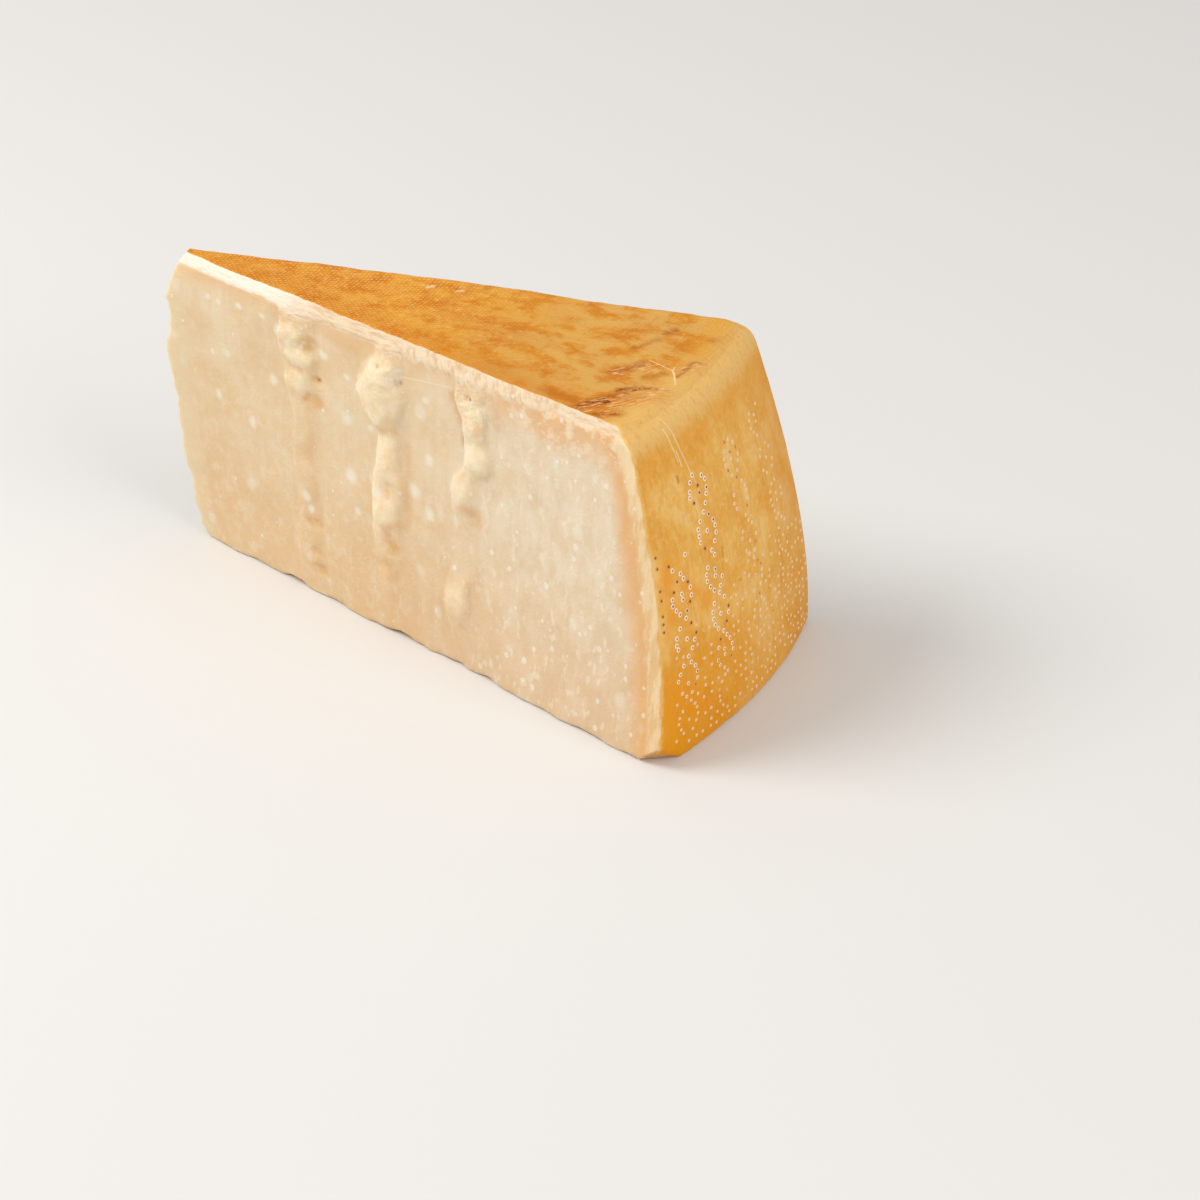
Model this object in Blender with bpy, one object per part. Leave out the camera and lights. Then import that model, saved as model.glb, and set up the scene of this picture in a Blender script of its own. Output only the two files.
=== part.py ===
"""A wedge of hard grating cheese, cut from the lower half of a wheel, in metres with +Z up.

The wedge is worked out round the wheel's upright axis. Its two cuts fan out from that axis,
its heel is the wheel's bulging side and its top is the wheel's flat face, both in rind. The
nose at the axis is narrow and worn, and the front cut leans out toward the foot. Tears left
by the splitting knife stand proud of both cuts. The wedge rests on its flat foot.
"""

import itertools
import math

import bmesh
import bpy
import numpy as np

# Driving dimensions of the wedge
HEIGHT = 0.108
HEEL_RADIUS = 0.2191
HEEL_DRAW_IN = 0.0234
HEEL_POWER = 1.77
HEEL_RIM = 0.008
FRONT_ANGLE = math.radians(-11.8)
BACK_ANGLE = math.radians(11.8)
FRONT_LEAN = math.radians(3.5)
NOSE_HALF_WIDTH = 0.0024
NOSE_TIP_HALF_WIDTH = 0.0008
NOSE_TIP_DROP = 0.0110
EDGE_SOFTNESS = 0.0012
BACK_BOW = 0.0020

# The wheel's axis, seen from the middle of the wedge's footprint
AXIS_X = -0.1090
AXIS_Y = 0.0060

# The rind is cut back along the top of both cuts
RIND_CUT_BACK = 0.0020
RIND_CUT_DROP = 0.0040

# How far the nose stands from the axis, as (height, distance)
NOSE_LINE = (
    (0.000, 0.0105),
    (0.004, 0.0075),
    (0.011, 0.0060),
    (0.021, 0.0045),
    (0.031, 0.0012),
    (0.045, 0.0004),
    (0.060, -0.0002),
    (0.073, -0.0010),
    (0.083, 0.0012),
    (0.091, 0.0004),
    (0.098, 0.0020),
    (0.103, 0.0042),
    (0.108, 0.0060),
)

# Raised tears on a cut, each as rows of (height, near edge, far edge, stand) from foot to top
FRONT_TEARS = (
    (
        (0.006, 0.057, 0.070, 0.0006),
        (0.030, 0.0535, 0.069, 0.0012),
        (0.060, 0.0510, 0.068, 0.0012),
        (0.080, 0.0500, 0.068, 0.0020),
        (0.100, 0.0492, 0.069, 0.0022),
    ),
    (
        (0.025, 0.094, 0.104, 0.0005),
        (0.040, 0.091, 0.107, 0.0024),
        (0.050, 0.0925, 0.1075, 0.0020),
        (0.066, 0.0935, 0.106, 0.0022),
        (0.076, 0.0915, 0.1065, 0.0022),
        (0.088, 0.0870, 0.1065, 0.0018),
        (0.100, 0.0900, 0.106, 0.0014),
    ),
    (
        (0.056, 0.1265, 0.137, 0.0004),
        (0.064, 0.126, 0.137, 0.0016),
        (0.071, 0.129, 0.140, 0.0018),
        (0.078, 0.1315, 0.142, 0.0018),
        (0.088, 0.131, 0.142, 0.0022),
        (0.099, 0.126, 0.141, 0.0016),
    ),
    (
        (0.014, 0.128, 0.134, 0.0003),
        (0.025, 0.124, 0.135, 0.0016),
        (0.031, 0.1235, 0.135, 0.0004),
    ),
)
BACK_TEARS = (
    (
        (0.030, 0.060, 0.073, 0.0004),
        (0.052, 0.058, 0.074, 0.0018),
        (0.085, 0.056, 0.073, 0.0024),
        (0.102, 0.054, 0.074, 0.0016),
    ),
    (
        (0.010, 0.113, 0.126, 0.0006),
        (0.034, 0.112, 0.128, 0.0020),
        (0.060, 0.115, 0.131, 0.0014),
        (0.092, 0.117, 0.135, 0.0020),
        (0.101, 0.119, 0.134, 0.0012),
    ),
    (
        (0.066, 0.158, 0.170, 0.0004),
        (0.080, 0.156, 0.171, 0.0020),
        (0.098, 0.158, 0.172, 0.0016),
    ),
)

# Lumps on a cut, as (distance from the axis, height, half width, half height, stand)
FRONT_LUMPS = (
    (0.0965, 0.0885, 0.0100, 0.0120, 0.0026),
    (0.0555, 0.0960, 0.0055, 0.0045, 0.0014),
    (0.0595, 0.0880, 0.0065, 0.0040, 0.0012),
    (0.0580, 0.0775, 0.0070, 0.0045, 0.0012),
    (0.0990, 0.0640, 0.0065, 0.0080, 0.0012),
    (0.0990, 0.0450, 0.0065, 0.0055, 0.0014),
    (0.1365, 0.0900, 0.0050, 0.0060, 0.0014),
    (0.1385, 0.0790, 0.0050, 0.0050, 0.0011),
    (0.1330, 0.0635, 0.0065, 0.0050, 0.0013),
    (0.1285, 0.0255, 0.0050, 0.0055, 0.0012),
)
BACK_LUMPS = (
    (0.0640, 0.0900, 0.0075, 0.0090, 0.0016),
    (0.0660, 0.0600, 0.0060, 0.0070, 0.0012),
    (0.1265, 0.0880, 0.0080, 0.0100, 0.0022),
    (0.1200, 0.0400, 0.0070, 0.0080, 0.0016),
    (0.1640, 0.0900, 0.0060, 0.0060, 0.0014),
)
TEAR_EDGE = 0.0016
TEAR_EASE = 0.45
LUMP_FULLNESS = 0.7

# Chips out of the foot of a cut, as (distance from the axis, half length, depth)
FRONT_CHIPS = (
    (0.054, 0.0065, 0.0030),
    (0.105, 0.0060, 0.0020),
    (0.143, 0.0050, 0.0016),
)
BACK_CHIPS = (
    (0.040, 0.0060, 0.0024),
    (0.092, 0.0080, 0.0018),
    (0.168, 0.0060, 0.0026),
)
CHIP_RISE = 0.0026

# The corner broken off between the front cut, the heel and the foot
BREAK_ALONG_CUT = 0.2090
BREAK_ROUND_HEEL = math.radians(-12.3)
BREAK_HEIGHT = 0.0078

# Unevenness, each as (size of the swells, height of the swells)
CUT_SWELL = (0.032, 0.0007)
CUT_RIPPLE = (0.011, 0.0003)
HEEL_SWELL = (0.026, 0.0004)
TOP_SWELL = (0.024, 0.0003)
REACH_INWARD = 0.0070
NOISE_TABLE = 32
SEED_FRONT = 11
SEED_BACK = 23
SEED_HEEL = 37
SEED_TOP = 41

# Grid lines along the wedge, up it and across it, as (share of the length, cells up to it)
LINES_ALONG = ((0.21, 9), (0.67, 27), (0.955, 12), (1.0, 5))
LINES_UP = ((0.035, 2), (0.10, 3), (0.90, 18), (1.0, 5))
LINES_ACROSS = ((0.12, 2), (0.88, 8), (1.0, 2))

# Finish of the cheese
PASTE_COLOUR = (0.79, 0.60, 0.36, 1.0)
PASTE_ROUGHNESS = 0.55
SHARP_EDGE = math.radians(50.0)


def smooth(share):
    """Ease from 0 to 1 as the share goes from 0 to 1."""
    share = np.clip(share, 0.0, 1.0)
    return share * share * (3.0 - 2.0 * share)


def noise(points, size, seed):
    """Seeded random numbers on a cubic lattice of this size, eased from corner to corner."""
    table = np.random.default_rng(seed).uniform(-1.0, 1.0, (NOISE_TABLE,) * 3)
    cell = np.floor(points / size).astype(int)
    part = smooth(points / size - cell)
    total = np.zeros(len(points))
    for corner in itertools.product((0, 1), repeat=3):
        weight = np.prod(np.where(corner, part, 1.0 - part), axis=1)
        place = (cell + corner) % NOISE_TABLE
        total += weight * table[place[:, 0], place[:, 1], place[:, 2]]
    return total


def heel_radius(height):
    """The heel bulges at the wheel's middle and draws in toward the face by a power."""
    share = np.clip(height / HEIGHT, 0.0, 1.0)
    return HEEL_RADIUS - HEEL_DRAW_IN * share**HEEL_POWER


def front_angle(height):
    """The front cut swings out evenly from the top to the foot."""
    return FRONT_ANGLE - FRONT_LEAN * (1.0 - height / HEIGHT)


def nose_distance(height):
    """The nose follows its line of heights and distances."""
    line = np.array(NOSE_LINE)
    return np.interp(height, line[:, 0], line[:, 1])


def nose_half_width(height):
    """The nose is blunt, and narrows to a point in the rind at the top."""
    share = smooth((HEIGHT - height) / NOSE_TIP_DROP)
    return NOSE_TIP_HALF_WIDTH + (NOSE_HALF_WIDTH - NOSE_TIP_HALF_WIDTH) * share


def tear(along, height, rows):
    """A tear stands proud between its edges, steep at the near one and easing to the far one."""
    rows = np.array(rows)
    near = np.interp(height, rows[:, 0], rows[:, 1])
    far = np.interp(height, rows[:, 0], rows[:, 2])
    stand = np.interp(height, rows[:, 0], rows[:, 3], left=0.0, right=0.0)
    rise = smooth((along - near) / TEAR_EDGE)
    fall = smooth((far - along) / (TEAR_EASE * (far - near)))
    return stand * rise * fall


def lump(along, height, shape):
    """A lump is a low oval dome."""
    middle, level, half_width, half_height, stand = shape
    out = ((along - middle) / half_width) ** 2 + ((height - level) / half_height) ** 2
    return stand * np.clip(1.0 - out, 0.0, 1.0) ** LUMP_FULLNESS


def chip(along, height, shape):
    """A chip undercuts the foot of a cut, deepest at the foot and at its own middle."""
    middle, half_length, depth = shape
    length_share = smooth(1.0 - np.abs(along - middle) / half_length)
    return depth * length_share * smooth(1.0 - height / CHIP_RISE)


def cut_relief(along, height, tears, lumps, chips, seed):
    """How far a cut stands out: its rind cut back, tears, lumps, chips and swells."""
    below_rind = smooth((HEIGHT - height) / RIND_CUT_DROP)
    relief = RIND_CUT_BACK * below_rind * height / HEIGHT
    for rows in tears:
        relief = relief + tear(along, height, rows) * below_rind
    for shape in lumps:
        relief = relief + lump(along, height, shape)
    for shape in chips:
        relief = relief - chip(along, height, shape)
    place = np.column_stack([along, height, np.zeros(len(along))])
    for step, (size, swell) in enumerate((CUT_SWELL, CUT_RIPPLE)):
        relief = relief + swell * noise(place, size, seed + step)
    return relief


def rounded_edges(coords, ends):
    """Edges of the block are drawn in as a cube is drawn in to a ball, all but the rim's own edge."""
    push = np.zeros_like(coords)
    for axis, (low, high) in enumerate(ends):
        from_low = np.clip(1.0 - (coords[:, axis] - low) / EDGE_SOFTNESS, 0.0, 1.0)
        from_high = np.clip(1.0 - (high - coords[:, axis]) / EDGE_SOFTNESS, 0.0, 1.0)
        push[:, axis] = from_high - from_low
    at_rim = np.clip(np.minimum(push[:, 0], push[:, 2]), 0.0, None)
    length = np.sqrt(np.clip(np.sum(push**2, axis=1) - at_rim**2, 0.0, None))
    reach = np.max(np.abs(push), axis=1)
    factor = np.divide(reach, length, out=np.ones_like(length), where=length > 0.0)
    return coords + EDGE_SOFTNESS * push * (factor[:, None] - 1.0)


def rounded_rim(along, height, radius):
    """The rim between heel and top becomes a quarter round, by the same rule in two axes."""
    up = np.clip((height - (HEIGHT - HEEL_RIM)) / HEEL_RIM, 0.0, 1.0)
    out = np.clip((along - (radius - HEEL_RIM)) / HEEL_RIM, 0.0, 1.0)
    length = np.hypot(up, out)
    reach = np.maximum(up, out)
    factor = np.divide(reach, length, out=np.ones_like(length), where=length > 0.0)
    return along + HEEL_RIM * out * (factor - 1.0), height + HEEL_RIM * up * (factor - 1.0)


def wedge_points(shares):
    """Carry the block's shares along, across and up to the wedge's surface."""
    height = HEIGHT * shares[:, 2]
    nose = nose_distance(height)
    radius = heel_radius(height)
    along = nose + (radius - nose) * shares[:, 0]
    half_angle = 0.5 * (BACK_ANGLE - front_angle(height))
    half_width = np.hypot(along * np.sin(half_angle), nose_half_width(height))
    across = half_width * (2.0 * shares[:, 1] - 1.0)

    block = np.column_stack([along, across, height])
    ends = ((nose, radius), (-half_width, half_width), (0.0, HEIGHT))
    block = rounded_edges(block, ends)
    along, height = rounded_rim(block[:, 0], block[:, 2], radius)
    across = block[:, 1]

    turn = across / half_width * half_angle
    middle = 0.5 * (BACK_ANGLE + front_angle(height))
    points = np.column_stack([along * np.cos(turn), across, height])
    points = turned(points, middle)
    return points + relief(along, across, height, half_width, radius, middle, half_angle)


def turned(points, angle):
    """Points turned about the wheel's axis."""
    x = points[:, 0] * np.cos(angle) - points[:, 1] * np.sin(angle)
    y = points[:, 0] * np.sin(angle) + points[:, 1] * np.cos(angle)
    return np.column_stack([x, y, points[:, 2]])


def relief(along, across, height, half_width, radius, middle, half_angle):
    """Each face's relief, along that face's normal and fading with depth under it."""
    from_front = across + half_width
    from_back = half_width - across
    depth = np.minimum(REACH_INWARD, half_width)
    front = cut_relief(along, height, FRONT_TEARS, FRONT_LUMPS, FRONT_CHIPS, SEED_FRONT)
    back = cut_relief(along, height, BACK_TEARS, BACK_LUMPS, BACK_CHIPS, SEED_BACK)
    back = back + BACK_BOW * np.sin(math.pi * np.clip(along / HEEL_RADIUS, 0.0, 1.0))
    front = front * smooth(1.0 - from_front / depth)
    back = back * smooth(1.0 - from_back / depth)
    shift = cut_normal(middle - half_angle, -1.0) * front[:, None]
    shift += cut_normal(middle + half_angle, 1.0) * back[:, None]

    level = np.zeros(len(height))
    size, swell = HEEL_SWELL
    heel = swell * noise(np.column_stack([across, height, level]), size, SEED_HEEL)
    heel = heel * smooth(1.0 - (radius - along) / REACH_INWARD)
    shift += np.column_stack([np.cos(middle), np.sin(middle), level]) * heel[:, None]

    size, swell = TOP_SWELL
    top = swell * (noise(np.column_stack([along, across, level]), size, SEED_TOP) - 1.0)
    shift[:, 2] += top * smooth(1.0 - (HEIGHT - height) / REACH_INWARD)
    return shift


def cut_normal(angle, side):
    """The outward normal of a cut that runs out from the axis at this angle."""
    return side * np.column_stack([-np.sin(angle), np.cos(angle), np.zeros(len(angle))])


def polar(radius, angle, height):
    """A point at this radius, angle and height round the wheel's axis."""
    return np.array([radius * math.cos(angle), radius * math.sin(angle), height])


def break_corner(points):
    """Lay everything beyond the plane of the broken corner down onto that plane."""
    on_cut = polar(BREAK_ALONG_CUT, front_angle(0.0), 0.0)
    on_heel = polar(HEEL_RADIUS, BREAK_ROUND_HEEL, 0.0)
    above = polar(heel_radius(BREAK_HEIGHT), front_angle(BREAK_HEIGHT), BREAK_HEIGHT)
    normal = np.cross(on_heel - on_cut, above - on_cut)
    normal /= np.linalg.norm(normal)
    beyond = np.clip((points - on_cut) @ normal, 0.0, None)
    return points - beyond[:, None] * normal


def grid_lines(spans):
    """Shares of the length at which grid lines lie, evenly spaced inside each span."""
    lines = [0.0]
    for end, cells in spans:
        lines.extend(np.linspace(lines[-1], end, cells + 1)[1:])
    return np.array(lines)


def gridded_block(lines_by_axis):
    """A unit cube divided into even cells, whose lines are then moved to their own shares."""
    block = bmesh.new()
    bmesh.ops.create_cube(block, size=1.0)
    bmesh.ops.translate(block, verts=block.verts, vec=(0.5, 0.5, 0.5))
    for axis, lines in enumerate(lines_by_axis):
        edges = []
        for edge in block.edges:
            start, end = edge.verts
            if abs(start.co[axis] - end.co[axis]) > 0.5:
                edges.append(edge)
        bmesh.ops.subdivide_edges(block, edges=edges, cuts=len(lines) - 2, use_grid_fill=True)
    for vert in block.verts:
        for axis, lines in enumerate(lines_by_axis):
            vert.co[axis] = lines[round(vert.co[axis] * (len(lines) - 1))]
    return block


def cheese_material():
    """Straw-coloured paste, dull and slightly waxy."""
    material = bpy.data.materials.new("hard_cheese")
    material.use_nodes = True
    shader = material.node_tree.nodes["Principled BSDF"]
    shader.inputs["Base Color"].default_value = PASTE_COLOUR
    shader.inputs["Roughness"].default_value = PASTE_ROUGHNESS
    shader.inputs["Metallic"].default_value = 0.0
    return material


def parmesan_wedge():
    """The whole wedge as one closed solid, standing on the middle of its footprint."""
    block = gridded_block([grid_lines(LINES_ALONG), grid_lines(LINES_ACROSS), grid_lines(LINES_UP)])
    mesh = bpy.data.meshes.new("parmesan_wedge")
    block.to_mesh(mesh)
    block.free()

    shares = np.empty(len(mesh.vertices) * 3)
    mesh.vertices.foreach_get("co", shares)
    points = break_corner(wedge_points(shares.reshape(-1, 3)))
    points += (AXIS_X, AXIS_Y, 0.0)
    mesh.vertices.foreach_set("co", points.ravel())

    shaped = bmesh.new()
    shaped.from_mesh(mesh)
    bmesh.ops.triangulate(shaped, faces=shaped.faces, quad_method="SHORT_EDGE")
    bmesh.ops.recalc_face_normals(shaped, faces=shaped.faces)
    shaped.to_mesh(mesh)
    shaped.free()
    mesh.shade_smooth()
    mesh.set_sharp_from_angle(angle=SHARP_EDGE)
    mesh.materials.append(cheese_material())

    wedge = bpy.data.objects.new("parmesan_wedge", mesh)
    bpy.context.collection.objects.link(wedge)
    return wedge


def main():
    for old in list(bpy.data.objects):
        bpy.data.objects.remove(old)
    parmesan_wedge()


main()
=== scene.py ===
"""Looks of a wedge of hard grating cheese, in metres: torn paste, oiled rind, pin dots and crystals."""

import itertools
import math

import bpy
import numpy as np
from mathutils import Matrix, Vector


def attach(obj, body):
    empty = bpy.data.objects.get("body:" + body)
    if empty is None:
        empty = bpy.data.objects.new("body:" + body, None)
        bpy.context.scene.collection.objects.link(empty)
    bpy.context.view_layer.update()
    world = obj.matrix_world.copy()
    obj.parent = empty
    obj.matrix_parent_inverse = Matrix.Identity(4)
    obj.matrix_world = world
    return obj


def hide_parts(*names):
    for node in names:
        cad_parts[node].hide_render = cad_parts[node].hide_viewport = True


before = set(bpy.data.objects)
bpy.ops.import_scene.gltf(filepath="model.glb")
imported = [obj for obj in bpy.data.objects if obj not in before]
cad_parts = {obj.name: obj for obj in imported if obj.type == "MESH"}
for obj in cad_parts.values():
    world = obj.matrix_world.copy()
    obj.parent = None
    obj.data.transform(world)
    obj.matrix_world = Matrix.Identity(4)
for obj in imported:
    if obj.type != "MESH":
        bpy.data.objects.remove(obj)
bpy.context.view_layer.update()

# Sizes of the wedge, the same as the solid's
HEIGHT = 0.108
HEEL_RADIUS = 0.2191
HEEL_DRAW_IN = 0.0234
HEEL_POWER = 1.77
HEEL_RIM = 0.008
FRONT_ANGLE = math.radians(-11.8)
BACK_ANGLE = math.radians(11.8)
FRONT_LEAN = math.radians(3.5)
NOSE_HALF_WIDTH = 0.0024
NOSE_TIP_HALF_WIDTH = 0.0008
NOSE_TIP_DROP = 0.011
EDGE_SOFTNESS = 0.0012
BACK_BOW = 0.002
AXIS = np.array([-0.109, 0.006, 0.0])
RIND_CUT_BACK = 0.002
RIND_CUT_DROP = 0.004
RIND_THICKNESS = 0.0055

# How far the nose stands from the wheel's axis, as (height, distance)
NOSE_LINE = (
    (0.0, 0.0105),
    (0.004, 0.0075),
    (0.011, 0.006),
    (0.021, 0.0045),
    (0.031, 0.0012),
    (0.045, 0.0004),
    (0.06, -0.0002),
    (0.073, -0.001),
    (0.083, 0.0012),
    (0.091, 0.0004),
    (0.098, 0.002),
    (0.103, 0.0042),
    (0.108, 0.006),
)

# How deep the pale band of rind is along the top of a cut, as (distance from the axis, depth)
BAND_LINE = (
    (0.0, 0.0036),
    (0.045, 0.004),
    (0.06, 0.0062),
    (0.072, 0.0048),
    (0.1, 0.005),
    (0.125, 0.0062),
    (0.15, 0.005),
    (0.168, 0.0034),
    (0.188, 0.0024),
    (0.22, 0.003),
)

# Raised tears on a cut, each as rows of (height, near edge, far edge, stand) from foot to top
FRONT_TEARS = (
    (
        (0.006, 0.057, 0.07, 0.0003),
        (0.018, 0.055, 0.069, 0.0006),
        (0.03, 0.0565, 0.069, 0.0004),
        (0.045, 0.054, 0.069, 0.0007),
        (0.06, 0.0555, 0.068, 0.0005),
        (0.076, 0.052, 0.068, 0.0011),
        (0.09, 0.05, 0.068, 0.0019),
        (0.104, 0.0485, 0.07, 0.0022),
    ),
    (
        (0.014, 0.096, 0.103, 0.0003),
        (0.03, 0.0925, 0.105, 0.001),
        (0.04, 0.0915, 0.1075, 0.0017),
        (0.05, 0.092, 0.108, 0.0018),
        (0.062, 0.0925, 0.1075, 0.002),
        (0.073, 0.094, 0.1065, 0.0019),
        (0.08, 0.089, 0.106, 0.0021),
        (0.088, 0.086, 0.106, 0.0023),
        (0.1, 0.092, 0.106, 0.0018),
        (0.104, 0.092, 0.104, 0.0016),
    ),
    (
        (0.05, 0.1265, 0.137, 0.0003),
        (0.062, 0.125, 0.136, 0.0012),
        (0.069, 0.126, 0.139, 0.0015),
        (0.074, 0.131, 0.142, 0.0017),
        (0.08, 0.1318, 0.142, 0.002),
        (0.09, 0.1308, 0.142, 0.0022),
        (0.097, 0.1275, 0.142, 0.002),
        (0.104, 0.126, 0.142, 0.0018),
    ),
    (
        (0.006, 0.128, 0.138, 0.0002),
        (0.016, 0.125, 0.139, 0.0008),
        (0.026, 0.123, 0.138, 0.001),
        (0.038, 0.125, 0.139, 0.0002),
    ),
)
BACK_TEARS = (
    (
        (0.022, 0.064, 0.07, 0.0003),
        (0.04, 0.06, 0.072, 0.0012),
        (0.058, 0.0625, 0.0715, 0.001),
        (0.074, 0.059, 0.073, 0.0016),
        (0.09, 0.056, 0.074, 0.002),
        (0.104, 0.057, 0.076, 0.0014),
    ),
    (
        (0.008, 0.117, 0.123, 0.0004),
        (0.026, 0.113, 0.126, 0.0014),
        (0.046, 0.116, 0.125, 0.0012),
        (0.064, 0.115, 0.13, 0.0015),
        (0.08, 0.119, 0.131, 0.0018),
        (0.103, 0.117, 0.134, 0.0014),
    ),
    (
        (0.06, 0.16, 0.166, 0.0003),
        (0.074, 0.157, 0.169, 0.0012),
        (0.086, 0.16, 0.169, 0.0012),
        (0.103, 0.157, 0.171, 0.0014),
    ),
)

# Lumps on a cut, as (distance from the axis, height, half width, half height, stand)
FRONT_LUMPS = (
    (0.0965, 0.0885, 0.0108, 0.013, 0.0026),
    (0.0555, 0.096, 0.0055, 0.0045, 0.0014),
    (0.0595, 0.088, 0.0065, 0.004, 0.0009),
    (0.058, 0.0775, 0.007, 0.005, 0.0007),
    (0.099, 0.064, 0.0065, 0.008, 0.001),
    (0.099, 0.045, 0.0065, 0.006, 0.0011),
    (0.1365, 0.09, 0.005, 0.006, 0.0012),
    (0.1385, 0.079, 0.005, 0.005, 0.0009),
    (0.132, 0.064, 0.007, 0.006, 0.0008),
    (0.13, 0.0255, 0.006, 0.0075, 0.0006),
)
BACK_LUMPS = (
    (0.064, 0.09, 0.0075, 0.009, 0.0016),
    (0.066, 0.06, 0.006, 0.007, 0.0012),
    (0.1265, 0.088, 0.008, 0.01, 0.0022),
    (0.12, 0.04, 0.007, 0.008, 0.0016),
    (0.164, 0.09, 0.006, 0.006, 0.0014),
)

# Small hollows torn into a cut, as (distance from the axis, height, half width, half height, depth)
FRONT_HOLLOWS = (
    (0.052, 0.101, 0.0022, 0.0016, 0.00055),
    (0.0635, 0.094, 0.0062, 0.0042, 0.00066),
    (0.067, 0.0815, 0.0034, 0.0026, 0.00061),
    (0.06, 0.0835, 0.006, 0.0022, 0.00044),
    (0.064, 0.0735, 0.0068, 0.0042, 0.00066),
    (0.062, 0.052, 0.005, 0.006, 0.00033),
    (0.064, 0.028, 0.006, 0.0026, 0.00077),
    (0.0655, 0.0165, 0.005, 0.003, 0.00061),
    (0.0665, 0.0095, 0.0064, 0.003, 0.00066),
    (0.0965, 0.0742, 0.006, 0.004, 0.00028),
    (0.1, 0.0545, 0.0034, 0.005, 0.00049),
    (0.101, 0.034, 0.004, 0.006, 0.00055),
    (0.0965, 0.024, 0.005, 0.0034, 0.00049),
    (0.1042, 0.094, 0.0018, 0.002, 0.00077),
    (0.0965, 0.098, 0.0012, 0.0012, 0.00066),
    (0.1318, 0.084, 0.0014, 0.006, 0.00077),
    (0.1335, 0.0985, 0.0018, 0.0016, 0.00061),
    (0.135, 0.057, 0.006, 0.005, 0.0003),
    (0.14, 0.036, 0.003, 0.004, 0.00039),
    (0.133, 0.015, 0.004, 0.004, 0.00033),
)
BACK_HOLLOWS = (
    (0.067, 0.08, 0.006, 0.0044, 0.00034),
    (0.065, 0.048, 0.0052, 0.005, 0.0003),
    (0.0655, 0.095, 0.004, 0.004, 0.00026),
    (0.123, 0.072, 0.006, 0.005, 0.00034),
    (0.121, 0.028, 0.0052, 0.0054, 0.0003),
    (0.125, 0.096, 0.004, 0.0034, 0.00026),
    (0.164, 0.076, 0.0048, 0.004, 0.0003),
)
TEAR_EDGE = 0.0024
TEAR_EASE = 0.45
TEAR_END = (0.003, 0.006)
FULLY_TORN = 0.0014
CRUMBLY_LEVEL = (0.078, 0.018)
CRUMBS_BELOW = 0.25
LUMP_FULLNESS = 1.0
HOLLOW_FULLNESS = 1.4

# Chips out of the foot of a cut, as (distance from the axis, half length, depth)
FRONT_CHIPS = (
    (0.054, 0.0065, 0.003),
    (0.105, 0.006, 0.002),
    (0.143, 0.005, 0.0016),
)
BACK_CHIPS = (
    (0.04, 0.006, 0.0024),
    (0.092, 0.008, 0.0018),
    (0.168, 0.006, 0.0026),
)
CHIP_RISE = 0.0026
BREAK_ALONG_CUT = 0.209
BREAK_ROUND_HEEL = math.radians(-12.3)
BREAK_HEIGHT = 0.0078

# Unevenness, each as (size of the swells, height of the swells)
CUT_SWELL = (0.032, 0.0007)
CUT_RIPPLE = (0.011, 0.0003)
HEEL_SWELL = (0.026, 0.0004)
TOP_SWELL = (0.024, 0.0003)
RAGGED = (((0.013, 0.011, 1.0), 0.0013), ((0.004, 0.0034, 1.0), 0.0006))
FLAKES = ((0.0056, 0.0064, 1.0), 0.0006)
CRUMBS = ((0.0026, 0.0024, 1.0), 0.0003)
CRUMBLE = ((0.0064, 0.0009), (0.0026, 0.0006))
FOOT_CRUMBLE = (0.0042, 0.0007)
GRAIN = (0.0019, 0.00007)
KNIFE_LINES = ((0.0022, 0.06, 1.0), 0.00007)
RIND_FIBRES = ((0.003, 0.0016, 1.0), 0.00028)
FOOT_SPLIT = (0.009, 0.0005)
REACH_INWARD = 0.007
NOISE_TABLE = 32
SEED_FRONT = 11
SEED_BACK = 23
SEED_HEEL = 37
SEED_TOP = 41
SEED_NOSE = 53
SEED_FOOT = 59

# Grid lines along the wedge, up it and across it, as (share of the length, cells up to it)
LINES_ALONG = ((0.2, 34), (0.7, 138), (0.95, 62), (1.0, 22))
LINES_UP = ((0.04, 10), (0.9, 96), (1.0, 20))
LINES_ACROSS = ((0.05, 4), (0.95, 34), (1.0, 4))

# The block's sides that wear rind, of six sides numbered two to an axis with the near one first
HEEL_SIDE = 1
TOP_SIDE = 5

# White crystal ovals on the front cut, as (distance from the axis, height, half width, half height)
CRYSTAL_OVALS = (
    (0.0368, 0.0551, 0.0015, 0.002),
    (0.0211, 0.0605, 0.0013, 0.0018),
    (0.0468, 0.0748, 0.0017, 0.002),
    (0.0801, 0.0721, 0.0021, 0.0023),
    (0.0904, 0.0724, 0.0016, 0.0014),
    (0.0815, 0.0518, 0.0025, 0.0027),
    (0.1102, 0.0568, 0.0024, 0.0026),
    (0.0948, 0.0518, 0.0026, 0.002),
    (0.1162, 0.0704, 0.0019, 0.0021),
    (0.1168, 0.051, 0.002, 0.0022),
    (0.0609, 0.0364, 0.002, 0.002),
    (0.0628, 0.032, 0.0016, 0.0014),
    (0.0695, 0.0916, 0.0021, 0.0015),
    (0.0265, 0.0774, 0.0015, 0.0015),
    (0.0196, 0.0758, 0.001, 0.0012),
    (0.0801, 0.0873, 0.0015, 0.0012),
    (0.1143, 0.091, 0.0016, 0.0014),
    (0.0848, 0.0398, 0.0015, 0.0015),
    (0.0189, 0.0962, 0.0011, 0.001),
    (0.0237, 0.0959, 0.0012, 0.0011),
    (0.0329, 0.0975, 0.0014, 0.0011),
    (0.0433, 0.0971, 0.0013, 0.001),
    (0.0494, 0.0942, 0.0013, 0.0022),
    (0.1033, 0.0983, 0.0011, 0.0009),
)

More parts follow.
